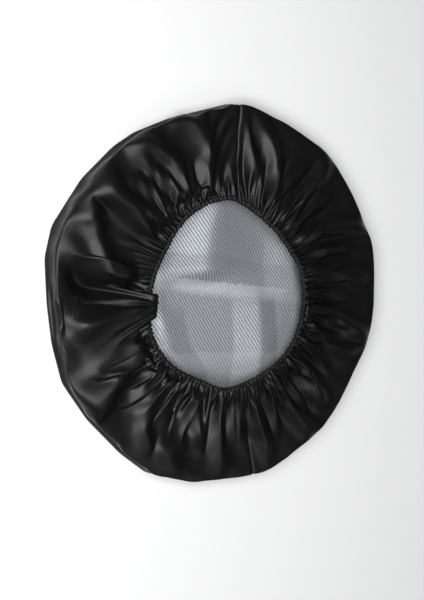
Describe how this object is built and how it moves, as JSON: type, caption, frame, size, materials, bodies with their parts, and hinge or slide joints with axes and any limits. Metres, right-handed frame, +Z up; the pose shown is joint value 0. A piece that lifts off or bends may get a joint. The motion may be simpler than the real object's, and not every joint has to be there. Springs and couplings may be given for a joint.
{
  "type": "spare tyre cover",
  "caption": "Soft round cover for a spare wheel: a flat front panel, a deep gathered band and an elastic mouth at the back.",
  "frame": {"origin": "on the floor at the middle of the front panel, which lies face down", "axes": "+Z up out of the elastic mouth, along the axis of the tyre; +Y towards the upper edge, where the band's top join is about 5 degrees to the right of it; +X to the right seen from the mouth side"},
  "size_m": [0.7298, 0.73, 0.0605],
  "materials": {
    "pvc_skin": "satin",
    "knit_backing": "matte",
    "thread": "matte",
    "elastic": "matte"
  },
  "bodies": {
    "cover": {"front_panel": "pvc_skin", "front_panel_backing": "knit_backing", "band_left": "pvc_skin", "band_right": "pvc_skin", "band_left_backing": "knit_backing", "band_right_backing": "knit_backing", "front_turned_edge": "pvc_skin", "band_turned_edge": "pvc_skin", "rim_stitches": "thread", "top_join_edge_a": "pvc_skin", "top_join_edge_b": "pvc_skin", "top_join_stitches": "thread", "bottom_join_edge_a": "pvc_skin", "bottom_join_edge_b": "pvc_skin", "bottom_join_stitches": "thread"},
    "mouth": {"hem_casing_left": "pvc_skin", "hem_casing_right": "pvc_skin", "mouth_elastic": "elastic", "elastic_bar_tack": "thread", "hem_stitches_upper": "thread", "hem_stitches_lower": "thread"}
  },
  "joints": [
    {"name": "mouth_lift", "type": "slide", "parent": "cover", "child": "mouth", "axis": [0, 0, 1], "range_m": [0, 0.1]}
  ]
}
